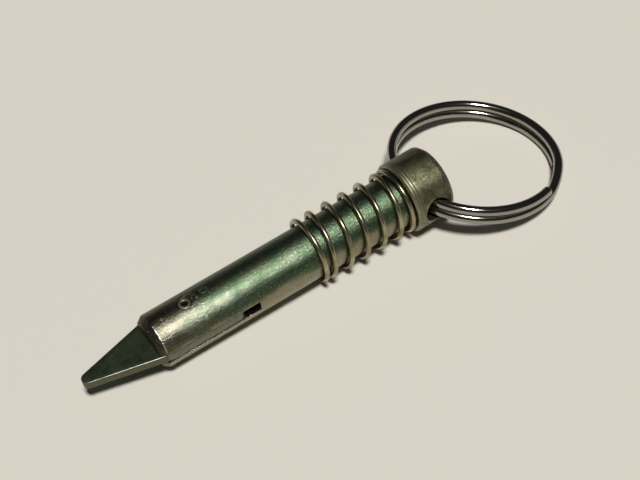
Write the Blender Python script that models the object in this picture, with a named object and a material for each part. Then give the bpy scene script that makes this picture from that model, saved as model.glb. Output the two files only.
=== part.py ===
# Toggle pin with a spring and a split ring, lying on its side.
#
# The pin is modelled in its own frame: X along its axis with the front face at x = 0 and the blade's tip
# at +X, Z square to the blade. An empty then lays the whole pin down. Lengths are metres.

from math import acos, asin, atan, atan2, cos, hypot, pi, radians, sin, sqrt, tan

import bmesh
import bpy
import numpy as np
from mathutils import Vector

MM = 0.001

# Pin body, turned from one bar
SHANK_DIAMETER = 9.5 * MM
SHANK_LENGTH = 48.7 * MM
NOSE_CHAMFER_LENGTH = 1.1 * MM
NOSE_CHAMFER_DEPTH = 0.8 * MM
HEAD_DIAMETER = 12.8 * MM
HEAD_LENGTH = 7.6 * MM
HEAD_FRONT_CHAMFER = 0.35 * MM
HEAD_REAR_CHAMFER = 0.85 * MM

# Toggle blade and its pivot
PIVOT_BACK = 7.45 * MM
PIVOT_DIAMETER = 2.2 * MM
PIVOT_SUNK = 0.1 * MM
PIVOT_DIMPLE_DIAMETER = 1.1 * MM
PIVOT_DIMPLE_DEPTH = 0.35 * MM
PIVOT_MOUTH = 0.2 * MM
BLADE_THICKNESS = 1.5 * MM
BLADE_TAIL = 7.85 * MM
BLADE_TAIL_CHAMFER = 0.5 * MM
BLADE_STRAIGHT = 5.55 * MM
BLADE_REACH = 19.65 * MM
BLADE_TIP_RADIUS = 1.1 * MM
BLADE_INSET = 0.15 * MM
BLADE_EDGE_BEVEL = 0.12 * MM
SLOT_SIDE_GAP = 0.15 * MM
SLOT_END_ROOM = 1.65 * MM

# Spring, left-handed, with both ends closed
SPRING_WIRE = 0.9 * MM
SPRING_LENGTH = 18.5 * MM
SPRING_TURNS = 6.6
SPRING_RAMP_TURNS = 1.3
SPRING_FRONT_ANGLE = radians(-60)
SPRING_PLAY = 0.25 * MM
SPRING_FLOOR_GAP = 0.01 * MM

# Split ring, one wire in two turns
RING_DIAMETER = 30.8 * MM
RING_WIRE = 1.7 * MM
RING_TURN_GAP = 0.08 * MM
RING_STEP_START = radians(33)
RING_STEP_END = radians(67)
RING_END_GAP = radians(2)
RING_SIDE_SHIFT = -1.1 * MM

# Clearances
PRESS_GAP = 0.05 * MM
RUNNING_GAP = 0.1 * MM
SEAT_GAP = 0.1 * MM
RING_PLAY = 0.12 * MM
CUT_OVERRUN = 2.0 * MM

# Fineness
TURNED_SIDES = 64
HOLE_SIDES = 40
TIP_STEPS = 14
SPRING_STEPS_PER_TURN = 36
RING_STEPS_PER_TURN = 80
SPRING_WIRE_SIDES = 8
RING_WIRE_SIDES = 12
MERGE = 1e-7

# What follows from the sizes above
SHANK_RADIUS = SHANK_DIAMETER / 2
HEAD_RADIUS = HEAD_DIAMETER / 2
HEAD_FRONT_X = -SHANK_LENGTH
HEAD_REAR_X = HEAD_FRONT_X - HEAD_LENGTH
PIVOT_X = -PIVOT_BACK
HOLE_X = HEAD_FRONT_X - HEAD_LENGTH / 2
BLADE_HALF_WIDTH = SHANK_RADIUS - BLADE_INSET
SLOT_WIDTH = BLADE_THICKNESS + 2 * SLOT_SIDE_GAP
SLOT_DEPTH = PIVOT_BACK + hypot(BLADE_TAIL, BLADE_HALF_WIDTH) + SLOT_END_ROOM

# The ring's wire runs on a circle about a centre behind the head. Inside the head that circle bows to and
# fro by half its sagitta on each side of the hole's axis, and the hole is just wide enough for both turns.
RING_RADIUS = (RING_DIAMETER - RING_WIRE) / 2
RING_HALF_STEP = (RING_WIRE + RING_TURN_GAP) / 2
RING_AT_MOUTH = sqrt(RING_RADIUS ** 2 - (HEAD_RADIUS + abs(RING_SIDE_SHIFT)) ** 2)
RING_CENTRE_BACK = (RING_RADIUS + RING_AT_MOUTH) / 2
RING_BOW = (RING_RADIUS - RING_AT_MOUTH) / 2
HOLE_RADIUS = hypot(RING_BOW, RING_HALF_STEP) + RING_WIRE / 2 + RING_PLAY

# The pin lies on the front rims of its head and of its shank, so its nose points down a little.
HEAD_RIM_X = HEAD_FRONT_X - HEAD_FRONT_CHAMFER
NOSE_RIM_X = -NOSE_CHAMFER_LENGTH
NOSE_DOWN = atan((HEAD_RADIUS - SHANK_RADIUS) / (NOSE_RIM_X - HEAD_RIM_X))


def floor_below_axis(x):
    """Distance from the pin's axis down to the floor at X, measured square to the axis."""
    return SHANK_RADIUS + (NOSE_RIM_X - x) * tan(NOSE_DOWN)


def ring_swing():
    """Angle, from straight back, by which the ring hangs down until its far edge meets the floor.

    The far edge of the lower turn is reach along the ring and half a step below its middle plane. It touches
    when reach * sin(a) + half step * cos(a) is the height of the hole less the wire's radius, where a is the
    ring's angle below level."""
    height = floor_below_axis(HOLE_X) * cos(NOSE_DOWN) - RING_WIRE / 2
    reach = RING_CENTRE_BACK + RING_RADIUS
    below_level = asin(height / hypot(reach, RING_HALF_STEP)) - atan2(RING_HALF_STEP, reach)
    return below_level + NOSE_DOWN


def metal(name, colour, roughness):
    """A bare or plated metal of one colour."""
    material = bpy.data.materials.new(name)
    material.use_nodes = True
    shader = material.node_tree.nodes["Principled BSDF"]
    shader.inputs["Base Color"].default_value = (*colour, 1)
    shader.inputs["Metallic"].default_value = 1
    shader.inputs["Roughness"].default_value = roughness
    return material


def finished(name, mesh, material=None):
    """Turns the bmesh MESH into an object with outward faces and smooth round sides."""
    bmesh.ops.remove_doubles(mesh, verts=mesh.verts, dist=MERGE)
    bmesh.ops.recalc_face_normals(mesh, faces=mesh.faces)
    data = bpy.data.meshes.new(name)
    mesh.to_mesh(data)
    mesh.free()
    data.shade_smooth()
    data.set_sharp_from_angle(angle=radians(30))
    if material:
        data.materials.append(material)
    piece = bpy.data.objects.new(name, data)
    bpy.context.collection.objects.link(piece)
    return piece


def turned(name, profile, sides, material=None):
    """A solid turned about X. PROFILE lists (along, radius) from one end to the other, both on the axis."""
    mesh = bmesh.new()
    points = [mesh.verts.new((along, 0, radius)) for along, radius in profile]
    edges = [mesh.edges.new(pair) for pair in zip(points, points[1:])]
    bmesh.ops.spin(mesh, geom=points + edges, cent=(0, 0, 0), axis=(1, 0, 0), angle=2 * pi, steps=sides,
                   use_merge=True)
    return finished(name, mesh, material)


def plate(name, outline, thickness, material=None):
    """A flat plate with the given outline in XY, centred on z = 0."""
    mesh = bmesh.new()
    face = mesh.faces.new([mesh.verts.new((x, y, -thickness / 2)) for x, y in outline])
    raised = bmesh.ops.extrude_face_region(mesh, geom=[face])["geom"]
    top = [item for item in raised if isinstance(item, bmesh.types.BMVert)]
    bmesh.ops.translate(mesh, verts=top, vec=(0, 0, thickness))
    return finished(name, mesh, material)


def bent_wire(name, centres, outwards, diameter, sides, material):
    """A round wire along CENTRES, with flat ends. OUTWARDS points away from the coil's axis at each centre."""
    along = np.gradient(centres, axis=0)
    along /= np.linalg.norm(along, axis=1, keepdims=True)
    across = np.cross(along, outwards)
    across /= np.linalg.norm(across, axis=1, keepdims=True)
    outwards = np.cross(across, along)
    mesh = bmesh.new()
    loops = []
    for centre, out, side in zip(centres, outwards, across):
        angles = [2 * pi * step / sides for step in range(sides)]
        points = [centre + diameter / 2 * (cos(a) * out + sin(a) * side) for a in angles]
        loops.append([mesh.verts.new(point) for point in points])
    for loop, following in zip(loops, loops[1:]):
        for corner in range(sides):
            beside = (corner + 1) % sides
            mesh.faces.new((loop[corner], loop[beside], following[beside], following[corner]))
    mesh.faces.new(loops[0])
    mesh.faces.new(loops[-1])
    return finished(name, mesh, material)


def cut(piece, cutter):
    """Takes CUTTER away from PIECE and hides it."""
    boolean = piece.modifiers.new(cutter.name, "BOOLEAN")
    boolean.operation = "DIFFERENCE"
    boolean.solver = "EXACT"
    boolean.object = cutter
    cutter.parent = piece
    cutter.display_type = "WIRE"
    cutter.hide_render = True


def pin_body(material):
    """Shank and head, turned in one, before the slot and the holes are cut."""
    profile = [
        (0, 0),
        (0, SHANK_RADIUS - NOSE_CHAMFER_DEPTH),
        (NOSE_RIM_X, SHANK_RADIUS),
        (HEAD_FRONT_X, SHANK_RADIUS),
        (HEAD_FRONT_X, HEAD_RADIUS - HEAD_FRONT_CHAMFER),
        (HEAD_RIM_X, HEAD_RADIUS),
        (HEAD_REAR_X + HEAD_REAR_CHAMFER, HEAD_RADIUS),
        (HEAD_REAR_X, HEAD_RADIUS - HEAD_REAR_CHAMFER),
        (HEAD_REAR_X, 0),
    ]
    return turned("shank", profile, TURNED_SIDES, material)


def blade_slot():
    """The sawn slot, open at the nose and on both sides of the shank."""
    half = SHANK_RADIUS + CUT_OVERRUN
    outline = [(-SLOT_DEPTH, -half), (CUT_OVERRUN, -half), (CUT_OVERRUN, half), (-SLOT_DEPTH, half)]
    return plate("slot_cut", outline, SLOT_WIDTH)


def pivot_hole():
    """The hole for the pivot pin, square to the slot, with a small countersink at each mouth."""
    radius = PIVOT_DIAMETER / 2 + PRESS_GAP
    sink = SHANK_RADIUS - PIVOT_MOUTH
    beyond = SHANK_RADIUS + CUT_OVERRUN
    flare = radius + beyond - sink
    profile = [(-beyond, 0), (-beyond, flare), (-sink, radius), (sink, radius), (beyond, flare), (beyond, 0)]
    hole = turned("pivot_hole_cut", profile, HOLE_SIDES)
    hole.location.x = PIVOT_X
    hole.rotation_euler.y = radians(-90)
    return hole


def round_cut(name, radius, length):
    """A plain cylinder to cut with, along X about its middle."""
    profile = [(-length / 2, 0), (-length / 2, radius), (length / 2, radius), (length / 2, 0)]
    return turned(name, profile, HOLE_SIDES)


def ring_hole():
    """The cross hole in the middle of the head, along Y."""
    hole = round_cut("ring_hole_cut", HOLE_RADIUS, HEAD_DIAMETER + 2 * CUT_OVERRUN)
    hole.location.x = HOLE_X
    hole.rotation_euler.z = radians(90)
    return hole


def blade_outline():
    """Outline about the pivot: a square tail with its corners cut, straight sides, a taper and a round tip.

    Each taper starts at a shoulder and runs on tangent to the tip's circle: seen from the circle's centre,
    the tangent point is acos(radius / distance) round from the shoulder."""
    tip_centre = BLADE_REACH - BLADE_TIP_RADIUS
    aside = BLADE_STRAIGHT - tip_centre
    tangent = atan2(BLADE_HALF_WIDTH, aside) - acos(BLADE_TIP_RADIUS / hypot(aside, BLADE_HALF_WIDTH))
    upper = [
        (-BLADE_TAIL, BLADE_HALF_WIDTH - BLADE_TAIL_CHAMFER),
        (-BLADE_TAIL + BLADE_TAIL_CHAMFER, BLADE_HALF_WIDTH),
        (BLADE_STRAIGHT, BLADE_HALF_WIDTH),
    ]
    angles = np.linspace(tangent, -tangent, TIP_STEPS + 1)
    tip = [(tip_centre + BLADE_TIP_RADIUS * cos(a), BLADE_TIP_RADIUS * sin(a)) for a in angles]
    lower = [(x, -y) for x, y in reversed(upper)]
    return upper + tip + lower


def toggle_blade(material):
    """The flat blade, its origin on the pivot's axis."""
    blade = plate("toggle_blade", blade_outline(), BLADE_THICKNESS, material)
    edges = blade.modifiers.new("worn_edges", "BEVEL")
    edges.width = BLADE_EDGE_BEVEL
    edges.segments = 1
    edges.limit_method = "ANGLE"
    edges.angle_limit = radians(60)
    hole = round_cut("blade_hole_cut", PIVOT_DIAMETER / 2 + RUNNING_GAP, BLADE_THICKNESS + 2 * CUT_OVERRUN)
    hole.rotation_euler.y = radians(90)
    cut(blade, hole)
    blade.location.x = PIVOT_X
    return blade


def pivot_pin(material):
    """The cross pin, with a dimple punched into each end, a little below the shank's surface."""
    half = SHANK_RADIUS - PIVOT_SUNK
    radius = PIVOT_DIAMETER / 2
    dimple = PIVOT_DIMPLE_DIAMETER / 2
    end = [(half - PIVOT_DIMPLE_DEPTH, 0), (half, dimple), (half, radius)]
    profile = [(-along, across) for along, across in end] + end[::-1]
    pin = turned("pivot_pin", profile, HOLE_SIDES, material)
    pin.location.x = PIVOT_X
    pin.rotation_euler.y = radians(-90)
    return pin


def eased_turns(turns):
    """Turns of full pitch that TURNS of a closed end are worth.

    The pitch grows from nothing as a smoothstep over the ramp, 3u^2 - 2u^3, and stays full from there on. Its
    integral is u^3 - u^4 / 2 up to u = 1, where it is a half, and u - 1 / 2 beyond."""
    u = turns / SPRING_RAMP_TURNS
    return SPRING_RAMP_TURNS * np.where(u < 1, u ** 3 - u ** 4 / 2, u - 0.5)


def spring(material):
    """The spring against the head, its origin on the head's face. Its front end rests just off the floor."""
    radius = SHANK_RADIUS + SPRING_PLAY + SPRING_WIRE / 2
    rear = SEAT_GAP + SPRING_WIRE / 2
    pitch = (SPRING_LENGTH - SPRING_WIRE) / (SPRING_TURNS - SPRING_RAMP_TURNS)
    turns = np.linspace(0, SPRING_TURNS, round(SPRING_TURNS * SPRING_STEPS_PER_TURN) + 1)
    from_middle = np.minimum(turns, SPRING_TURNS - turns)
    closed = pitch * eased_turns(from_middle)
    back = np.where(turns < SPRING_TURNS / 2, closed, SPRING_LENGTH - SPRING_WIRE - closed)
    x = rear + SPRING_LENGTH - SPRING_WIRE - back
    front_x = HEAD_FRONT_X + SEAT_GAP + SPRING_LENGTH
    lift = radius + SPRING_WIRE / 2 + SPRING_FLOOR_GAP - floor_below_axis(front_x)
    angle = SPRING_FRONT_ANGLE + 2 * pi * turns
    flat = np.zeros_like(angle)
    outwards = np.stack([flat, np.cos(angle), np.sin(angle)], axis=1)
    middle = np.stack([x, flat, lift * x / SPRING_LENGTH], axis=1)
    piece = bent_wire("spring", middle + radius * outwards, outwards, SPRING_WIRE, SPRING_WIRE_SIDES, material)
    piece.location.x = HEAD_FRONT_X
    return piece


def split_ring(material):
    """One wire in two turns, its origin on the cross hole's axis, before it swings down.

    The angle goes round from straight back over the +Y side. The upper turn steps down to the lower one past
    its own starting end, and the lower turn ends just short of that step."""
    start = RING_STEP_END + RING_END_GAP
    end = 4 * pi + RING_STEP_START - RING_END_GAP
    angle = np.linspace(start, end, round((end - start) / (2 * pi) * RING_STEPS_PER_TURN) + 1)
    stepped = (angle - 2 * pi - RING_STEP_START) / (RING_STEP_END - RING_STEP_START)
    stepped = np.clip(stepped, 0, 1)
    height = RING_HALF_STEP * (1 - 2 * (3 * stepped ** 2 - 2 * stepped ** 3))
    outwards = np.stack([-np.cos(angle), np.sin(angle), np.zeros_like(angle)], axis=1)
    centres = RING_RADIUS * outwards
    centres += np.array([-RING_CENTRE_BACK, RING_SIDE_SHIFT, 0])
    centres[:, 2] += height
    ring = bent_wire("split_ring", centres, outwards, RING_WIRE, RING_WIRE_SIDES, material)
    ring.location.x = HOLE_X
    ring.rotation_euler.y = -ring_swing()
    return ring


def lay_down(pieces):
    """Tips the pin onto its rims and sets the centre of its box over the origin, on z = 0."""
    rest = bpy.data.objects.new("lies_on_floor", None)
    bpy.context.collection.objects.link(rest)
    rest.rotation_euler.y = NOSE_DOWN
    for piece in pieces:
        piece.parent = rest
    bpy.context.view_layer.update()
    corners = [piece.matrix_world @ vertex.co for piece in pieces for vertex in piece.data.vertices]
    low = Vector([min(corner[axis] for corner in corners) for axis in range(3)])
    high = Vector([max(corner[axis] for corner in corners) for axis in range(3)])
    middle = (low + high) / 2
    rest.location = (-middle.x, -middle.y, -low.z)


for leftover in list(bpy.data.objects):
    bpy.data.objects.remove(leftover)

plated_steel = metal("plated_steel", (0.52, 0.52, 0.45), 0.35)
blade_steel = metal("blade_steel", (0.36, 0.37, 0.34), 0.4)
pivot_steel = metal("pivot_steel", (0.55, 0.55, 0.52), 0.35)
spring_steel = metal("spring_steel", (0.55, 0.52, 0.42), 0.3)
ring_nickel = metal("ring_nickel", (0.75, 0.74, 0.71), 0.15)

body = pin_body(plated_steel)
cut(body, blade_slot())
cut(body, pivot_hole())
cut(body, ring_hole())

lay_down([
    body,
    toggle_blade(blade_steel),
    pivot_pin(pivot_steel),
    spring(spring_steel),
    split_ring(ring_nickel),
])
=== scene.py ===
# Toggle pin with a spring and a split ring: the finished surfaces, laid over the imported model.

from math import acos, asin, atan, atan2, cos, hypot, pi, radians, sin, sqrt, tan

import bmesh
import bpy
import numpy as np
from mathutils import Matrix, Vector


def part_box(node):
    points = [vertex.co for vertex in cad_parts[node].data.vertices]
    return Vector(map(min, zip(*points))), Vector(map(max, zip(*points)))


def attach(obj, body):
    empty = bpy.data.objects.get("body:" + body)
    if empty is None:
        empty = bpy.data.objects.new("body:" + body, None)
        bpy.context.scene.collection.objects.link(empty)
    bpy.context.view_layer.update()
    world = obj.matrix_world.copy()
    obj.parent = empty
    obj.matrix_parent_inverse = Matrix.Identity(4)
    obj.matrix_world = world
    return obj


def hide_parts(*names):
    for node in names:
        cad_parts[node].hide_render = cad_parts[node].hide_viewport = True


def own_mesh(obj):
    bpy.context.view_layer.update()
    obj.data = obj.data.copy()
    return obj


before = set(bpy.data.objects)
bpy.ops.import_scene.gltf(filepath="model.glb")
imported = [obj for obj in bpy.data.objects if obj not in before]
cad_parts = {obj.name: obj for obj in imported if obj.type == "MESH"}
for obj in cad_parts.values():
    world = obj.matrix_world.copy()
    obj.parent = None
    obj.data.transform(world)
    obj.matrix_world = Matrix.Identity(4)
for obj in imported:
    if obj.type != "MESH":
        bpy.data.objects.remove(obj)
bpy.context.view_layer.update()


# Pin body: a shank and a head turned in one from steel bar, with a sawn slot in the nose, a drilled and
# countersunk pivot hole across it and a plain hole across the head, then zinc plated and yellow passivated.
# Sizes are millimetres in the pin's own frame: X along its axis, front face at 0, Z square to the blade.
SHANK_RADIUS, SHANK_LENGTH = 4.75, 48.7
HEAD_RADIUS, HEAD_LENGTH = 6.4, 7.6
NOSE_CHAMFER, NOSE_CHAMFER_DEPTH = 1.1, 0.8
HEAD_FRONT_CHAMFER, HEAD_REAR_CHAMFER = 0.35, 0.85
TOOL_GROOVES, GROOVE_HALF, GROOVE_DEPTH, GROOVE_EASE = (0.75, 1.35), 0.16, 0.1, 0.04
SLOT_DEPTH, SLOT_WIDTH = 18.198, 1.8
PIVOT_X, PIVOT_HOLE_RADIUS, PIVOT_MOUTH = -7.45, 1.15, 0.2
RING_HOLE_X, RING_HOLE_RADIUS = -52.5, 2.3396
CUT_EDGE, BROKEN_OVER, SHARP_OVER = 0.07, radians(38), radians(32)
BODY_SIDES, HOLE_SIDES, EASE_STEPS = 192, 72, 4

# Cutters stand out of the metal by OVERCUT, and A_HAIR is too little to show.
OVERCUT, A_HAIR = 2, 0.01

# The pin lies on the rims of its head and of its nose, and its cross pin's box is centred on the pivot.
nose_down = atan((HEAD_RADIUS - SHANK_RADIUS) / (SHANK_LENGTH + HEAD_FRONT_CHAMFER - NOSE_CHAMFER))
tilt = np.array([[cos(nose_down), 0, sin(nose_down)], [0, 1, 0], [-sin(nose_down), 0, cos(nose_down)]])
pivot_box = np.array(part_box("pivot_pin"))
place = pivot_box.mean(axis=0) - tilt @ (PIVOT_X / 1000, 0, 0)


def lying(points):
    """Millimetres in the pin's frame to metres in the shared frame: turned nose down, then moved."""
    return points @ tilt.T / 1000 + place


def eased(corners):
    """A line through CORNERS, each a place in two numbers and the length that it is eased by.

    An inner corner becomes a parabola that starts and ends that far from it. At share t of the parabola it
    is (1 - t)^2 start + 2 t (1 - t) corner + t^2 end."""
    corners = np.array(corners, float)
    line, reach = corners[:, :2], corners[1:-1, 2:]
    inner = line[1:-1]
    back, on = line[:-2] - inner, line[2:] - inner
    start = inner + reach * back / np.linalg.norm(back, axis=1, keepdims=True)
    end = inner + reach * on / np.linalg.norm(on, axis=1, keepdims=True)
    t = np.linspace(0, 1, EASE_STEPS + 1)[None, :, None]
    curves = (1 - t) ** 2 * start[:, None] + 2 * t * (1 - t) * inner[:, None] + t ** 2 * end[:, None]
    return np.vstack([line[:1], curves.reshape(-1, 2), line[-1:]])


def turned(profile, sides):
    """Grid of a profile (along, radius) carried round X: y = radius cos a, z = radius sin a."""
    along, radius = np.array(profile, float).T[:, :, None]
    angle = (np.arange(sides) + 0.5) * 2 * pi / sides
    return np.stack(np.broadcast_arrays(along, radius * np.cos(angle), radius * np.sin(angle)), axis=-1)


def skin(name, grid, looped=False, **marks):
    """A closed surface through a grid of points whose rows run round the piece.

    Quads join neighbours, and the last column joins the first. Looped joins the last row to the first too,
    or else one flat face fills each end row. Marks are values at the points, kept as attributes."""
    number = np.arange(grid.shape[0] * grid.shape[1]).reshape(grid.shape[:2])
    rows = np.vstack([number, number[:1]]) if looped else number
    beside = np.roll(rows, -1, axis=1)
    quads = np.stack([rows[:-1], beside[:-1], beside[1:], rows[1:]], axis=-1).reshape(-1, 4).tolist()
    ends = [] if looped else [number[0].tolist(), number[-1].tolist()]
    data = bpy.data.meshes.new(name)
    data.from_pydata(lying(grid).reshape(-1, 3), [], quads + ends)
    for mark, values in marks.items():
        values = np.broadcast_to(values, grid.shape if np.ndim(values) == 3 else grid.shape[:2])
        kind, field = ("FLOAT_VECTOR", "vector") if values.ndim == 3 else ("FLOAT", "value")
        data.attributes.new(mark, kind, "POINT").data.foreach_set(field, values.astype(np.float32).ravel())
    shell = bmesh.new()
    shell.from_mesh(data)
    bmesh.ops.recalc_face_normals(shell, faces=shell.faces)
    shell.to_mesh(data)
    shell.free()
    data.shade_smooth()
    data.set_sharp_from_angle(angle=SHARP_OVER)
    piece = bpy.data.objects.new(name, data)
    bpy.context.collection.objects.link(piece)
    return piece


def machine(piece, cutters, edge):
    """Takes the CUTTERS out of PIECE, breaks every sharp edge by EDGE and leaves one plain mesh."""
    for cutter in cutters:
        boolean = piece.modifiers.new(cutter.name, "BOOLEAN")
        boolean.solver = "EXACT"
        boolean.object = cutter
    broken = piece.modifiers.new("broken_edges", "BEVEL")
    broken.width, broken.segments = edge / 1000, 2
    broken.limit_method, broken.angle_limit = "ANGLE", BROKEN_OVER
    broken.use_clamp_overlap = False
    broken.harden_normals = True
    made = piece.evaluated_get(bpy.context.evaluated_depsgraph_get())
    piece.data = bpy.data.meshes.new_from_object(made)
    piece.modifiers.clear()
    for cutter in cutters:
        bpy.data.objects.remove(cutter)


def across(grid, axis, x):
    """A grid made about X, turned to lie along AXIS (1 for Y, 2 for Z) at X along the pin."""
    order = {1: [1, 0, 2], 2: [2, 1, 0]}[axis]
    return grid[..., order] + np.array([x, 0, 0])


head_front = -SHANK_LENGTH
head_rear = head_front - HEAD_LENGTH
grooves = [(head_front - at - GROOVE_HALF * step, HEAD_RADIUS - GROOVE_DEPTH * (step == 0), GROOVE_EASE)
           for at in TOOL_GROOVES for step in (-1, 0, 1)]
body_profile = eased([
    (0, A_HAIR, 0),
    (0, SHANK_RADIUS - NOSE_CHAMFER_DEPTH, 0.12),
    (-NOSE_CHAMFER, SHANK_RADIUS, 0.1),
    (head_front, SHANK_RADIUS, 0.1),
    (head_front, HEAD_RADIUS - HEAD_FRONT_CHAMFER, 0.08),
    (head_front - HEAD_FRONT_CHAMFER, HEAD_RADIUS, 0.08),
    *grooves,
    (head_rear + HEAD_REAR_CHAMFER, HEAD_RADIUS, 0.25),
    (head_rear, HEAD_RADIUS - HEAD_REAR_CHAMFER, 0.2),
    (head_rear, A_HAIR, 0),
])
pin_body = skin("pin_body", turned(body_profile, BODY_SIDES))

outside = SHANK_RADIUS + OVERCUT
slot_corners = np.array([(-1, -1), (1, -1), (1, 1), (-1, 1)]) * [outside, SLOT_WIDTH / 2]
slot_cut = skin("slot_cut", np.stack([np.insert(slot_corners, 0, x, axis=1) for x in (-SLOT_DEPTH, OVERCUT)]))
sink = SHANK_RADIUS - PIVOT_MOUTH
flare = PIVOT_HOLE_RADIUS + outside - sink
pivot_cut = skin("pivot_cut", across(turned([
    (-outside, flare), (-sink, PIVOT_HOLE_RADIUS), (sink, PIVOT_HOLE_RADIUS), (outside, flare),
], HOLE_SIDES), 2, PIVOT_X))
ring_cut = skin("ring_cut", across(turned([
    (-HEAD_RADIUS - OVERCUT, RING_HOLE_RADIUS), (HEAD_RADIUS + OVERCUT, RING_HOLE_RADIUS),
], HOLE_SIDES), 1, RING_HOLE_X))
machine(pin_body, [slot_cut, pivot_cut, ring_cut], CUT_EDGE)


def linear(colour):
    """An sRGB hex colour as linear red, green, blue and 1: below 0.04045 a twelfth, above it a power law."""
    srgb = np.array([int(colour[i:i + 2], 16) for i in (1, 3, 5)]) / 255
    return (*np.where(srgb <= 0.04045, srgb / 12.92, ((srgb + 0.055) / 1.055) ** 2.4), 1)


def add(tree, kind, inputs=(), **settings):
    """Adds one shader node. INPUTS pairs a socket's name or number with a value or with a node's output.

    By number, a Map Range takes its value as 0, the range it reads as 1 and 2 and the one it gives as 3 and
    4. A Mix takes the share as 0, its numbers as 2 and 3 and its colours as 6 and 7."""
    node = tree.nodes.new("ShaderNode" + kind)
    for key, value in settings.items():
        setattr(node, key, value)
    for key, value in dict(inputs).items():
        if isinstance(value, bpy.types.NodeSocket):
            tree.links.new(value, node.inputs[key])
        else:
            node.inputs[key].default_value = value
    return node


def metal(name):
    """A material that is all metal, and its node tree."""
    material = bpy.data.materials.new(name)
    material.use_nodes = True
    material.node_tree.nodes["Principled BSDF"].inputs["Metallic"].default_value = 1
    return material, material.node_tree


def on_the_pin(tree):
    """A point's place in the pin's own frame, in millimetres, from its Object coordinates in metres."""
    return add(tree, "Mapping", {
        "Vector": add(tree, "TexCoord").outputs["Object"],
        "Location": place, "Rotation": (0, nose_down, 0), "Scale": (0.001, 0.001, 0.001),
    }, vector_type="TEXTURE").outputs[0]


def coat(tree, tone, gloss, relief):
    """Gives a material's shader its colour, its roughness and its relief."""
    shader = tree.nodes["Principled BSDF"]
    tree.links.new(tone, shader.inputs["Base Color"])
    tree.links.new(gloss, shader.inputs["Roughness"])
    tree.links.new(relief, shader.inputs["Normal"])


# Zinc plate, yellow passivated and worn, over turned steel. It is pale straw in a band facing between the
# lamp and the camera, a painted highlight, and green to brown elsewhere, a painted shade on the flanks and
# the nose over the film's real mottling. It is an even grey underneath, with brown blotches, dark pits, a
# painted shade on the nose's chamfer, scratches from sliding in and out of its hole, and marks of the punch
# and of knocks.
# Noise scales are spots to a millimetre: the clouds are 4 mm across, the blotches 2.5 and the pits 0.7. The
# grain of bare and dull specks is 0.3 mm, coarser than the real one, so that it shows.
# The way the pale band of painted highlight faces, between the lamp and the camera, in the pin's frame.
HIGHLIGHT_WAY = 0.005, 0.165, 0.195
KNOCK_HALF_WIDTH = 0.2

zinc, tree = metal("zinc_plate_yellow_passivated")
where = on_the_pin(tree)
along, _, up = add(tree, "SeparateXYZ", {0: where}).outputs
cloud = add(tree, "TexNoise", {"Vector": where, "Scale": 0.24, "Detail": 4, "Roughness": 0.6}).outputs[0]

# The film's tone is thin and pale on the side facing between the lamp and the camera, a painted highlight,
# and thick and dark on the flanks, a painted shade over its real mottling. It is thicker again over the last
# 7 mm, a painted shade on the nose, and gone on the lower half.
highlight_side = add(tree, "VectorMath", {0: where, 1: HIGHLIGHT_WAY}, operation="DOT_PRODUCT").outputs["Value"]
film_and_painted_light = add(tree, "Math", {0: highlight_side, 1: -3.5, 2: cloud}, operation="MULTIPLY_ADD").outputs[0]
nose_shade_and_gloss = add(tree, "MapRange", {0: along, 1: -7, 2: -3}, interpolation_type="SMOOTHSTEP").outputs[0]
film_and_painted_light = add(tree, "Math", {0: nose_shade_and_gloss, 1: 0.26, 2: film_and_painted_light}, operation="MULTIPLY_ADD").outputs[0]
film_and_painted_light = add(tree, "MapRange", {0: film_and_painted_light, 1: -4, 2: -3.15}, interpolation_type="SMOOTHSTEP").outputs[0]
clean = add(tree, "Math", {0: cloud, 1: 3, 2: up}, operation="MULTIPLY_ADD").outputs[0]
clean = add(tree, "MapRange", {0: clean, 1: 3.3, 2: 2.1}, interpolation_type="SMOOTHSTEP").outputs[0]

# Brown turns to green away from the nose, on the thick film and, paler, on the thin one.
green = add(tree, "Math", {0: along, 1: -0.02, 2: cloud}, operation="MULTIPLY_ADD").outputs[0]
green = add(tree, "MapRange", {0: green, 1: 0.44, 2: 0.85, 4: 0.9},
            interpolation_type="SMOOTHSTEP").outputs[0]
thick = add(tree, "Mix", {0: green, 6: linear("#5f5848"), 7: linear("#4a5f47")}, data_type="RGBA").outputs[2]
thin = add(tree, "Mix", {0: green, 6: linear("#a9a592"), 7: linear("#a0ab94")}, data_type="RGBA").outputs[2]
# The thin film's pale tone is a painted highlight, and the thick film's dark tone a painted shade.
tone = add(tree, "Mix", {0: film_and_painted_light, 6: thin, 7: thick}, data_type="RGBA").outputs[2]
tone = add(tree, "Mix", {0: clean, 6: tone, 7: linear("#87826e")}, data_type="RGBA").outputs[2]
blotch = add(tree, "TexNoise", {"Vector": where, "Scale": 0.4, "Detail": 5, "Distortion": 0.8}).outputs[0]
blotch = add(tree, "MapRange", {0: blotch, 1: 0.54, 2: 0.68, 4: 0.35}).outputs[0]
tone = add(tree, "Mix", {0: blotch, 6: tone, 7: linear("#77664a")}, data_type="RGBA").outputs[2]

# Dirt stays in the pits, and the chamfer is painted dark, a painted shade.
pit = add(tree, "TexNoise", {"Vector": where, "Scale": 1.5, "Detail": 5, "Roughness": 0.7}).outputs[0]
pit = add(tree, "MapRange", {0: pit, 1: 0.6, 2: 0.68, 4: 0.8}).outputs[0]
chamfer_shade = add(tree, "MapRange", {0: along, 1: 0.05 - NOSE_CHAMFER, 2: 0.15 - NOSE_CHAMFER, 4: 0.8}).outputs[0]
dirty = add(tree, "Math", {0: pit, 1: chamfer_shade}, operation="MAXIMUM").outputs[0]
tone = add(tree, "Mix", {0: dirty, 6: tone, 7: linear("#3b3a2c")}, data_type="RGBA").outputs[2]
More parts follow.
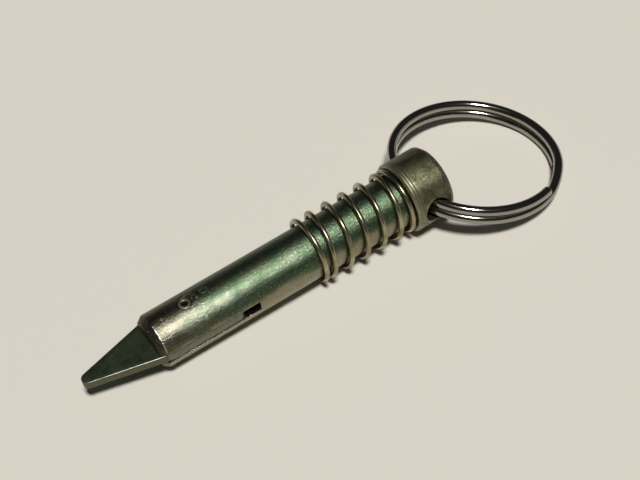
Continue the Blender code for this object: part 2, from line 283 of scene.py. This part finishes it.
# The chamfer's rear rim is painted bright on the side facing the lamp: wear and a painted highlight.
rim_wear_and_glint = add(tree, "Math", {0: along, 1: -0.02 - NOSE_CHAMFER, 2: 0.07}, operation="COMPARE").outputs[0]
worn_side = add(tree, "MapRange", {0: highlight_side, 1: 1, 2: 1.12}).outputs[0]
rim_wear_and_glint = add(tree, "Math", {0: rim_wear_and_glint, 1: worn_side}, operation="MULTIPLY").outputs[0]
tone = add(tree, "Mix", {0: rim_wear_and_glint, 6: tone, 7: linear("#d2d0d8")}, data_type="RGBA").outputs[2]

# Scratches are 4.5 mm long and 0.3 mm apart, and the grain's low spots are dull where its high ones are bare.
lengthwise = add(tree, "Mapping", {"Vector": where, "Scale": (0.22, 3.6, 3.6)}).outputs[0]
scratch = add(tree, "TexNoise", {"Vector": lengthwise, "Scale": 1, "Detail": 6, "Roughness": 0.65}).outputs[0]
grain = add(tree, "TexNoise", {"Vector": where, "Scale": 3, "Detail": 3, "Roughness": 0.7}).outputs[0]
bare = add(tree, "MapRange", {0: grain, 1: 0.57, 2: 0.66, 4: 0.3}).outputs[0]
tone = add(tree, "Mix", {0: bare, 6: tone, 7: linear("#d0ccb8")}, data_type="RGBA").outputs[2]
dull = add(tree, "MapRange", {0: grain, 1: 0.45, 2: 0.36, 4: 0.4}).outputs[0]
tone = add(tree, "Mix", {0: dull, 6: tone, 7: linear("#4b4c3c")}, data_type="RGBA").outputs[2]

# Each mark is a ring seen from above: its place along and aside, its radius and its depth. The grain breaks
# the marks up, so that they look knocked and not cut.
flat = add(tree, "Mapping", {"Vector": where, "Scale": (1, 1, 0)}).outputs[0]
dent_and_glint = 0.0
for x, y, radius, depth in (
    (PIVOT_X - 0.8, 0, 1.4, 0.7),
    (-11.2, -0.35, 0.6, 0.65),
    (-10.3, 0.4, 1.5, 0.4),
    (-2.9, 0.6, 0.2, 0.6),
    (-9.3, -1.9, 0.35, 0.4),
):
    off = add(tree, "VectorMath", {0: flat, 1: (x, y, 0)}, operation="DISTANCE").outputs["Value"]
    off = add(tree, "Math", {0: off, 1: radius}, operation="SUBTRACT").outputs[0]
    off = add(tree, "Math", {0: off}, operation="ABSOLUTE").outputs[0]
    groove = add(tree, "MapRange", {0: off, 2: KNOCK_HALF_WIDTH, 3: depth, 4: 0},
                 interpolation_type="SMOOTHSTEP").outputs[0]
    dent_and_glint = add(tree, "Math", {0: dent_and_glint, 1: groove}, operation="MAXIMUM").outputs[0]
patchy = add(tree, "MapRange", {0: grain, 1: 0.44, 2: 0.66}).outputs[0]
dent_and_glint = add(tree, "Math", {0: dent_and_glint, 1: patchy}, operation="MULTIPLY").outputs[0]
# The marks' rings are painted pale: bare metal and a painted highlight on their rims.
tone = add(tree, "Mix", {0: dent_and_glint, 6: tone, 7: linear("#d2cdb8")}, data_type="RGBA").outputs[2]

# The clean underside and the nose shine more, and the pits, the shaded chamfer and the dents less.
gloss = add(tree, "MapRange", {0: scratch, 1: 0.3, 2: 0.7, 3: 0.3, 4: 0.4}).outputs[0]
for part, rougher in ((clean, -0.15), (nose_shade_and_gloss, -0.04), (dirty, 0.2), (dent_and_glint, 0.4)):
    gloss = add(tree, "Math", {0: part, 1: rougher, 2: gloss}, operation="MULTIPLY_ADD").outputs[0]
relief = add(tree, "Bump", {"Strength": 0.25, "Distance": 0.00005, "Height": scratch}).outputs[0]
for height, strength, distance, sunk in (
    (grain, 0.9, 0.0001, False), (pit, 0.5, 0.00004, True), (dent_and_glint, 0.8, 0.00014, True),
):
    relief = add(tree, "Bump", {"Strength": strength, "Distance": distance, "Height": height,
                                "Normal": relief}, invert=sunk).outputs[0]
coat(tree, tone, gloss, relief)

# The same plate on the head, rubbed duller by hands: olive grey, more mottled, with green patches, a dark
# bluish rear edge, a painted reflection, a brighter front edge, a painted highlight, and the turning tool's
# rings still in it, deepest in front. They are 0.35 mm apart, about three times the real feed, so that they
# show.
dull_zinc, tree = metal("zinc_plate_dulled_on_turned_head")
where = on_the_pin(tree)
mottle = add(tree, "TexNoise", {"Vector": where, "Scale": 0.55, "Detail": 5, "Roughness": 0.6}).outputs[0]
mottle = add(tree, "MapRange", {0: mottle, 1: 0.38, 2: 0.64}).outputs[0]
tone = add(tree, "Mix", {0: mottle, 6: linear("#827e60"), 7: linear("#4e4f38")}, data_type="RGBA").outputs[2]
patch = add(tree, "TexNoise", {"Vector": where, "Scale": 0.3, "Detail": 4, "Distortion": 0.5}).outputs[0]
patch = add(tree, "MapRange", {0: patch, 1: 0.52, 2: 0.64, 4: 0.6}).outputs[0]
tone = add(tree, "Mix", {0: patch, 6: tone, 7: linear("#333f30")}, data_type="RGBA").outputs[2]
along = add(tree, "SeparateXYZ", {0: where}).outputs[0]
# The rear edge is painted dark and bluish, a painted reflection.
rear_painted_reflection = add(tree, "MapRange", {0: along, 1: head_rear + 0.55, 2: head_rear + 0.9, 3: 0.6, 4: 0}).outputs[0]
tone = add(tree, "Mix", {0: rear_painted_reflection, 6: tone, 7: linear("#3b3f44")}, data_type="RGBA").outputs[2]
# The front edge is painted brighter, a painted highlight on its rim and rings.
edge = add(tree, "MapRange", {0: along, 1: head_front - 1.9, 2: head_front - 0.3, 4: 0.5}).outputs[0]
tone = add(tree, "Mix", {0: edge, 6: tone, 7: linear("#a39d86")}, data_type="RGBA").outputs[2]
speck = add(tree, "TexNoise", {"Vector": where, "Scale": 3.2, "Detail": 4, "Roughness": 0.7}).outputs[0]
speck = add(tree, "MapRange", {0: speck, 1: 0.5, 2: 0.68, 4: 0.5}).outputs[0]
tone = add(tree, "Mix", {0: speck, 6: tone, 7: linear("#a9a789")}, data_type="RGBA").outputs[2]
rings = add(tree, "Mapping", {"Vector": where, "Scale": (2.9, 0.12, 0.12)}).outputs[0]
rings = add(tree, "TexNoise", {"Vector": rings, "Scale": 1, "Detail": 3}).outputs[0]
deep = add(tree, "MapRange", {0: along, 1: head_front - 2.5, 2: head_front - 1.5, 3: 0.3, 4: 1.6}).outputs[0]
rings = add(tree, "Math", {0: rings, 1: deep}, operation="MULTIPLY").outputs[0]
gloss = add(tree, "MapRange", {0: mottle, 3: 0.4, 4: 0.54}).outputs[0]
relief = add(tree, "Bump", {"Strength": 0.5, "Distance": 0.00005, "Height": rings}).outputs[0]
relief = add(tree, "Bump", {"Strength": 0.3, "Distance": 0.00006, "Height": speck,
                            "Normal": relief}).outputs[0]
coat(tree, tone, gloss, relief)

pin_body.data.materials.append(zinc)
pin_body.data.materials.append(dull_zinc)
middles = np.zeros(len(pin_body.data.polygons) * 3)
pin_body.data.polygons.foreach_get("center", middles)
middle_x = ((middles.reshape(-1, 3) - place) @ tilt)[:, 0] * 1000
pin_body.data.polygons.foreach_set("material_index", (middle_x < head_front - A_HAIR).astype(np.int32))
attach(pin_body, "pin")
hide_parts("shank")


# Cross pin: a short steel pin pressed through both cheeks of the slot, each end punched with a dimple that
# spreads it in its hole. It is a little below the shank's surface.
CROSS_PIN_RADIUS, CROSS_PIN_SUNK = 1.1, 0.1
DIMPLE_RADIUS, DIMPLE_FLOOR_RADIUS, DIMPLE_DEPTH, DARK_RADIUS = 0.6, 0.48, 0.35, 0.57

pin_end = SHANK_RADIUS - CROSS_PIN_SUNK
end_profile = np.array([
    (pin_end - DIMPLE_DEPTH, A_HAIR, 0),
    (pin_end - DIMPLE_DEPTH, DIMPLE_FLOOR_RADIUS, 0.1),
    (pin_end, DIMPLE_RADIUS, 0.08),
    (pin_end, CROSS_PIN_RADIUS, 0.12),
])
grid = turned(eased(np.vstack([end_profile * [-1, 1, 1], end_profile[::-1]])), HOLE_SIDES)
dirt = (np.hypot(grid[..., 1], grid[..., 2]) < DARK_RADIUS).astype(float)
cross_pin = skin("cross_pin", across(grid, 2, PIVOT_X), dirt=dirt)

# Plated drawn steel, punched: mottled like the shank, and darker in the dimple.
punched, tree = metal("drawn_steel_punched")
marks = add(tree, "TexNoise", {"Vector": on_the_pin(tree), "Scale": 2.5, "Detail": 4}).outputs[0]
tone = add(tree, "Mix", {0: marks, 6: linear("#918d78"), 7: linear("#bbb7a2")}, data_type="RGBA").outputs[2]
dirt = add(tree, "Attribute", attribute_name="dirt").outputs["Fac"]
tone = add(tree, "Mix", {0: dirt, 6: tone, 7: linear("#26261c")}, data_type="RGBA").outputs[2]
gloss = add(tree, "MapRange", {0: marks, 1: 0.3, 2: 0.7, 3: 0.36, 4: 0.5}).outputs[0]
relief = add(tree, "Bump", {"Strength": 0.4, "Distance": 0.00005, "Height": marks}).outputs[0]
coat(tree, tone, gloss, relief)

cross_pin.data.materials.append(punched)
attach(cross_pin, "pin")
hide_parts("pivot_pin")


# Toggle blade: a flat lever blanked from steel sheet, with a round hole for the cross pin, a tapered tip,
# and edges burnished by the slot and painted bright, a painted highlight. Its outline is worked out round the
# pivot, with X towards the tip.
BLADE_THICKNESS, BLADE_HALF_WIDTH = 1.5, 4.6
BLADE_TAIL, TAIL_CHAMFER, BLADE_STRAIGHT = 7.85, 0.5, 5.55
BLADE_REACH, TIP_RADIUS, TIP_POINTS = 19.65, 1.1, 12
BLADE_HOLE_RADIUS, BLADE_EDGE, OUTLINE_STEP = 1.2, 0.11, 0.35

# Half the blade's rows, from the bore over the face and the edge to the side: how far out the face's rows
# are, how bright each row is painted, burnish and a painted highlight, and how much of the sheared side it
# shows. The brightness fades by a share of itself towards the tip, and the side inside the slot is painted a
# little lighter, a painted reflection.
FACE_SHARES = np.array([0, 0.3, 0.6, 0.9])
BURNISH_AND_GLINT = np.array([0, 0, 0, 0, 0.15, 0.5, 0.8, 0.25, 0])
SHEARED = np.array([0, 0, 0, 0, 0, 0, 0.2, 0.6, 0.8])
LESS_AT_TIP, SLOT_SIDE_PAINTED_LIGHT = 0.4, 0.16

# Each taper runs from its shoulder to touch the tip's circle, at acos(radius / distance) from the shoulder.
tip_middle = BLADE_REACH - TIP_RADIUS
aside = BLADE_STRAIGHT - tip_middle
touch = atan2(BLADE_HALF_WIDTH, aside) - acos(TIP_RADIUS / hypot(aside, BLADE_HALF_WIDTH))
side = eased([
    (-BLADE_TAIL, 0, 0),
    (-BLADE_TAIL, BLADE_HALF_WIDTH - TAIL_CHAMFER, 0.12),
    (-BLADE_TAIL + TAIL_CHAMFER, BLADE_HALF_WIDTH, 0.12),
    (BLADE_STRAIGHT, BLADE_HALF_WIDTH, 0.25),
    (tip_middle + TIP_RADIUS * cos(touch), TIP_RADIUS * sin(touch), 0),
])[1:]
parts = np.maximum(1, np.round(np.linalg.norm(np.diff(side, axis=0), axis=1) / OUTLINE_STEP)).astype(int)
stretch = np.repeat(np.arange(len(parts)), parts)
share = stretch + (np.arange(parts.sum()) - (np.cumsum(parts) - parts)[stretch]) / parts[stretch]
side = np.stack([np.interp(share, np.arange(len(side)), side[:, i]) for i in (0, 1)], axis=1)
sweep = np.linspace(touch, 0, TIP_POINTS)[:, None]
half = np.vstack([side, (tip_middle, 0) + TIP_RADIUS * np.hstack([np.cos(sweep), np.sin(sweep)])])
outline = np.vstack([half, half[-2::-1] * [1, -1]])

ahead = np.roll(outline, -1, axis=0) - np.roll(outline, 1, axis=0)
inward = np.stack([ahead[:, 1], -ahead[:, 0]], axis=1) / np.linalg.norm(ahead, axis=1, keepdims=True)
inward *= -np.sign((inward * outline).sum(axis=1, keepdims=True))
bore = outline / np.linalg.norm(outline, axis=1, keepdims=True) * BLADE_HOLE_RADIUS


def blade_rows():
    """Rows from the bore out over the top face, round the edge, in over the lower face and back up the bore.

    Face rows blend the bore with the outline moved inward. Edge rows follow a quarter circle of the edge's
    radius: the outline moved inward by radius (1 - sin), at half thickness - radius (1 - cos)."""
    turn = np.linspace(0, pi / 2, len(BURNISH_AND_GLINT) - len(FACE_SHARES))
    face = bore + (outline + inward * BLADE_EDGE - bore) * FACE_SHARES[:, None, None]
    edge = outline + inward * BLADE_EDGE * (1 - np.sin(turn))[:, None, None]
    flat = np.vstack([face, edge])
    height = BLADE_THICKNESS / 2 - np.concatenate([0 * FACE_SHARES, BLADE_EDGE * (1 - np.cos(turn))])
    top = np.concatenate([flat, np.broadcast_to(height[:, None, None], (*flat.shape[:2], 1))], axis=2)
    return np.vstack([top, top[::-1] * [1, 1, -1]]) + np.array([PIVOT_X, 0, 0])


# Each row's brightness, burnish and a painted highlight, with the side inside the slot painted lighter.
worn = BURNISH_AND_GLINT[:, None] * (1 - LESS_AT_TIP * np.clip(outline[:, 0] / BLADE_REACH, 0, 1))
worn[-1] = SLOT_SIDE_PAINTED_LIGHT * (outline[:, 0] < -PIVOT_X - NOSE_CHAMFER)
sheared = np.concatenate([SHEARED, SHEARED[::-1]])[:, None]
blade = skin("blade", blade_rows(), looped=True, worn=np.vstack([worn, worn[::-1]]), sheared=sheared)

# Zinc plated sheet, rubbed dull: dark green to brown with pale specks, a fine grain along the blade, greyer
# sides where it was sheared, a bright line along their corners, burnish and a painted highlight, and the side
# painted lighter inside the slot. The grain's lines are 0.2 mm apart, coarser than the real ones, so that
# they show.
sheet_zinc, tree = metal("zinc_plated_sheet_rubbed")
where = on_the_pin(tree)
cloud = add(tree, "TexNoise", {"Vector": where, "Scale": 0.5, "Detail": 5, "Roughness": 0.6}).outputs[0]
cloud = add(tree, "MapRange", {0: cloud, 1: 0.4, 2: 0.6}).outputs[0]
tone = add(tree, "Mix", {0: cloud, 6: linear("#475b48"), 7: linear("#626a4f")}, data_type="RGBA").outputs[2]
speck = add(tree, "TexNoise", {"Vector": where, "Scale": 3, "Detail": 4, "Roughness": 0.7}).outputs[0]
speck = add(tree, "MapRange", {0: speck, 1: 0.5, 2: 0.7, 4: 0.5}).outputs[0]
tone = add(tree, "Mix", {0: speck, 6: tone, 7: linear("#8b8c78")}, data_type="RGBA").outputs[2]
sheared = add(tree, "Attribute", attribute_name="sheared").outputs["Fac"]
tone = add(tree, "Mix", {0: sheared, 6: tone, 7: linear("#645f4f")}, data_type="RGBA").outputs[2]
grain = add(tree, "Mapping", {"Vector": where, "Scale": (0.5, 5, 5)}).outputs[0]
grain = add(tree, "TexNoise", {"Vector": grain, "Scale": 1, "Detail": 6, "Roughness": 0.7}).outputs[0]
patchy = add(tree, "MapRange", {0: grain, 1: 0.3, 2: 0.6}).outputs[0]
# Burnish and a painted highlight on the corners, and painted light on the side in the slot, broken by the
# grain.
worn = add(tree, "Attribute", attribute_name="worn").outputs["Fac"]
worn = add(tree, "Math", {0: worn, 1: patchy}, operation="MULTIPLY").outputs[0]
tone = add(tree, "Mix", {0: worn, 6: tone, 7: linear("#d6d6cc")}, data_type="RGBA").outputs[2]
gloss = add(tree, "MapRange", {0: grain, 1: 0.3, 2: 0.7, 3: 0.36, 4: 0.52}).outputs[0]
gloss = add(tree, "Mix", {0: worn, 2: gloss, 3: 0.2}).outputs[0]
relief = add(tree, "Bump", {"Strength": 0.3, "Distance": 0.00005, "Height": grain}).outputs[0]
coat(tree, tone, gloss, relief)

blade.data.materials.append(sheet_zinc)
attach(blade, "toggle")
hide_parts("toggle_blade")


# Spring: a left-handed compression spring of plated wire, both ends closed but not ground, loose on the
# shank against the head. Its wire's ends are cut square.
SPRING_WIRE, SPRING_LENGTH, SPRING_TURNS, RAMP_TURNS = 0.9, 18.5, 6.6, 1.3
FRONT_ANGLE, SPRING_PLAY, SEAT_GAP, FLOOR_GAP = radians(-60), 0.25, 0.1, 0.01
SPRING_POINTS, SPRING_SIDES, SPRING_CUT_EDGE, CUT_RINGS = 800, 20, 0.08, 4


def wire(name, middles, outwards, diameter, sides, cut_edge):
    """A round wire along MIDDLES, its edges rounded at the cut ends.

    Each ring of points is middle + radius (cos a out + sin a side), where side is the cross product of the
    way along and out. Each end has CUT_RINGS rings on a quarter circle: they are smaller by
    CUT_EDGE (1 - sin) and lie CUT_EDGE (1 - cos) from the end. The mark drawn holds the straightened wire:
    (length along, radius cos a, radius sin a), in millimetres."""
    along = np.gradient(middles, axis=0)
    along /= np.linalg.norm(along, axis=1, keepdims=True)
    side = np.cross(along, outwards)
    side /= np.linalg.norm(side, axis=1, keepdims=True)
    out = np.cross(side, along)
    turn = np.linspace(0, pi / 2, CUT_RINGS)
    smaller, on, between = 1 - np.sin(turn), 1 - np.cos(turn), np.arange(1, len(middles) - 1)
    row = np.concatenate([np.zeros(CUT_RINGS, int), between, np.full(CUT_RINGS, len(middles) - 1)])
    inset = np.concatenate([smaller, 0 * between, smaller[::-1]]) * cut_edge
    shift = np.concatenate([on, 0 * between, -on[::-1]]) * cut_edge
    centre = middles[row] + shift[:, None] * along[row]
    radius = (diameter / 2 - inset)[:, None]
    angle = np.arange(sides) * 2 * pi / sides
    outward, sideward = radius * np.cos(angle), radius * np.sin(angle)
    grid = centre[:, None] + outward[..., None] * out[row][:, None] + sideward[..., None] * side[row][:, None]
    length = np.concatenate([[0], np.cumsum(np.linalg.norm(np.diff(centre, axis=0), axis=1))])
    drawn = np.stack(np.broadcast_arrays(length[:, None], outward, sideward), axis=-1)
    return skin(name, grid, drawn=drawn)


def table_below(x):
    """How far the table is below the pin's axis, square to the axis at X: the nose's rim lies on it."""
    return SHANK_RADIUS + (-NOSE_CHAMFER - x) * tan(nose_down)


def spring_line():
    """Middle line of the spring's wire, and the way out from its axis.

    The pitch grows from nothing over the first RAMP_TURNS as a smoothstep, whose integral is u^3 - u^4 / 2 up
    to u = 1 and u - 1 / 2 beyond, and it falls in the same way at the far end. The front end sinks until the
    wire is just above the table."""
    radius = SHANK_RADIUS + SPRING_PLAY + SPRING_WIRE / 2
    travel = SPRING_LENGTH - SPRING_WIRE
    turns = np.linspace(0, SPRING_TURNS, SPRING_POINTS)
    u = np.minimum(turns, SPRING_TURNS - turns) / RAMP_TURNS
    closed = np.where(u < 1, u ** 3 - u ** 4 / 2, u - 0.5) * RAMP_TURNS * travel / (SPRING_TURNS - RAMP_TURNS)
    back = np.where(turns < SPRING_TURNS / 2, closed, travel - closed)
    x = SEAT_GAP + SPRING_WIRE / 2 + travel - back
    front = head_front + SEAT_GAP + SPRING_LENGTH
    lift = radius + SPRING_WIRE / 2 + FLOOR_GAP - table_below(front)
    angle = FRONT_ANGLE + 2 * pi * turns
    out = np.stack([0 * angle, np.cos(angle), np.sin(angle)], axis=1)
    middle = np.stack([x + head_front, 0 * x, lift * x / SPRING_LENGTH], axis=1)
    return middle + radius * out, out


coil_spring = wire("coil_spring", *spring_line(), SPRING_WIRE, SPRING_SIDES, SPRING_CUT_EDGE)

# Plated spring wire: drawn, so its faint lines run along the wire, olive to brown where the film is thick.
# The lines are 0.2 mm apart, coarser than the real ones, so that they show.
spring_plate, tree = metal("spring_wire_zinc_plated")
drawn = add(tree, "Attribute", attribute_name="drawn").outputs["Vector"]
lines = add(tree, "Mapping", {"Vector": drawn, "Scale": (0.25, 5, 5)}).outputs[0]
lines = add(tree, "TexNoise", {"Vector": lines, "Scale": 1, "Detail": 5, "Roughness": 0.6}).outputs[0]
cloud = add(tree, "TexNoise", {"Vector": drawn, "Scale": 0.35, "Detail": 3}).outputs[0]
cloud = add(tree, "MapRange", {0: cloud, 1: 0.38, 2: 0.62}).outputs[0]
tone = add(tree, "Mix", {0: cloud, 6: linear("#b0a88e"), 7: linear("#7d7353")}, data_type="RGBA").outputs[2]
gloss = add(tree, "MapRange", {0: lines, 1: 0.3, 2: 0.7, 3: 0.22, 4: 0.36}).outputs[0]
relief = add(tree, "Bump", {"Strength": 0.3, "Distance": 0.00004, "Height": lines}).outputs[0]
coat(tree, tone, gloss, relief)

coil_spring.data.materials.append(spring_plate)
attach(coil_spring, "pin")
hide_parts("spring")
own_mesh(coil_spring)


# Split ring: one round wire in two turns, stepping from the upper to the lower one past its own end, hooked
# through the head's cross hole and hanging down to the table.
RING_DIAMETER, RING_WIRE, TURN_GAP, SIDE_SHIFT = 30.8, 1.7, 0.08, -1.1
STEP_START, STEP_END, END_GAP = radians(33), radians(67), radians(2)
RING_POINTS, RING_SIDES, RING_CUT_EDGE = 900, 28, 0.25

ring_radius = (RING_DIAMETER - RING_WIRE) / 2
half_step = (RING_WIRE + TURN_GAP) / 2
at_mouth = sqrt(ring_radius ** 2 - (HEAD_RADIUS + abs(SIDE_SHIFT)) ** 2)
centre_back = (ring_radius + at_mouth) / 2
below_hole = table_below(RING_HOLE_X) * cos(nose_down) - RING_WIRE / 2
reach = centre_back + ring_radius
swing = asin(below_hole / hypot(reach, half_step)) - atan2(half_step, reach) + nose_down


def ring_line():
    """Middle line of the ring's wire, and the way out from the ring's middle.

    It is a circle at angle a from straight back, upper turn first, that falls by a whole step on a smoothstep
    between the step's start and end of the second turn. The whole then swings down about the hole:
    x' = x cos - z sin, z' = x sin + z cos."""
    angle = np.linspace(STEP_END + END_GAP, 4 * pi + STEP_START - END_GAP, RING_POINTS)
    share = np.clip((angle - 2 * pi - STEP_START) / (STEP_END - STEP_START), 0, 1)
    height = half_step * (1 - 2 * (3 * share ** 2 - 2 * share ** 3))
    out = np.stack([-np.cos(angle), np.sin(angle), 0 * angle], axis=1)
    middle = ring_radius * out + np.array([-centre_back, SIDE_SHIFT, 0])
    middle[:, 2] += height
    down = np.array([[cos(swing), 0, -sin(swing)], [0, 1, 0], [sin(swing), 0, cos(swing)]])
    return middle @ down.T + np.array([RING_HOLE_X, 0, 0]), out @ down.T


key_ring = wire("key_ring", *ring_line(), RING_WIRE, RING_SIDES, RING_CUT_EDGE)

# Nickel plate, barrel polished: a near mirror, slightly warm, with scuffs along the wire, 3 mm long and
# 0.3 mm apart, coarser than the real ones, so that they show.
nickel, tree = metal("nickel_plate_barrel_polished")
drawn = add(tree, "Attribute", attribute_name="drawn").outputs["Vector"]
scuffs = add(tree, "Mapping", {"Vector": drawn, "Scale": (0.3, 3, 3)}).outputs[0]
scuffs = add(tree, "TexNoise", {"Vector": scuffs, "Scale": 1, "Detail": 6, "Roughness": 0.7}).outputs[0]
haze = add(tree, "TexNoise", {"Vector": drawn, "Scale": 0.15, "Detail": 2}).outputs[0]
tone = add(tree, "Mix", {0: haze, 6: linear("#a8a49b"), 7: linear("#928f87")}, data_type="RGBA").outputs[2]
gloss = add(tree, "MapRange", {0: scuffs, 1: 0.35, 2: 0.75, 3: 0.09, 4: 0.2}).outputs[0]
relief = add(tree, "Bump", {"Strength": 0.1, "Distance": 0.00002, "Height": scuffs}).outputs[0]
coat(tree, tone, gloss, relief)

key_ring.data.materials.append(nickel)
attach(key_ring, "ring")
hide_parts("split_ring")


# Table, light and camera, in metres: a pale matt table top, one soft lamp nearly overhead and far enough
# away to light the whole table alike, and a dim room whose walls are pale at the table's level. The walls
# darken to the ceiling between two heights, each the sine of its angle above the horizon.
TABLE_HALF, TABLE_COLOUR, TABLE_ROUGHNESS = 1.5, "#ddd8ca", 0.7
LAMP_DIRECTION, LAMP_ANGLE, LAMP_STRENGTH = (0.075, 0.34, 0.937), radians(11), 3.05
WALL_COLOUR, WALL_TOP, CEILING_COLOUR, CEILING_EDGE = "#cdcac0", 0.04, "#303032", 0.14
CAMERA_PLACE, CAMERA_TURN = (0.07435, 0.139255, 0.179584), np.radians([41.8721, 5.1477, 146.5004])
SENSOR_WIDTH_MM, LENS_MM, NEAREST, FARTHEST = 36, 79.17, 0.01, 10

table = bpy.data.meshes.new("table_top")
table.from_pydata(np.array([(-1, -1, 0), (1, -1, 0), (1, 1, 0), (-1, 1, 0)]) * TABLE_HALF, [], [(0, 1, 2, 3)])
table = bpy.data.objects.new("table_top", table)
bpy.context.collection.objects.link(table)
matt = bpy.data.materials.new("table_matt_paint")
matt.use_nodes = True
paint = matt.node_tree.nodes["Principled BSDF"]
paint.inputs["Base Color"].default_value = linear(TABLE_COLOUR)
paint.inputs["Roughness"].default_value = TABLE_ROUGHNESS
table.data.materials.append(matt)

lamp = bpy.data.lights.new("soft_lamp", "SUN")
lamp.angle, lamp.energy = LAMP_ANGLE, LAMP_STRENGTH
lamp = bpy.data.objects.new("soft_lamp", lamp)
bpy.context.collection.objects.link(lamp)
lamp.rotation_euler = Vector(LAMP_DIRECTION).to_track_quat("Z", "Y").to_euler()

world = bpy.data.worlds.new("room")
world.use_nodes = True
tree = world.node_tree
height = add(tree, "SeparateXYZ", {0: add(tree, "TexCoord").outputs["Generated"]}).outputs[2]
height = add(tree, "MapRange", {0: height, 1: WALL_TOP, 2: CEILING_EDGE},
             interpolation_type="SMOOTHSTEP").outputs[0]
room = add(tree, "Mix", {0: height, 6: linear(WALL_COLOUR), 7: linear(CEILING_COLOUR)}, data_type="RGBA")
tree.links.new(room.outputs[2], tree.nodes["Background"].inputs["Color"])
bpy.context.scene.world = world

camera = bpy.data.cameras.new("camera")
camera.sensor_width, camera.lens = SENSOR_WIDTH_MM, LENS_MM
camera.clip_start, camera.clip_end = NEAREST, FARTHEST
camera = bpy.data.objects.new("camera", camera)
bpy.context.collection.objects.link(camera)
camera.location, camera.rotation_euler = CAMERA_PLACE, CAMERA_TURN
bpy.context.scene.camera = camera
bpy.context.scene.view_settings.view_transform = "Standard"
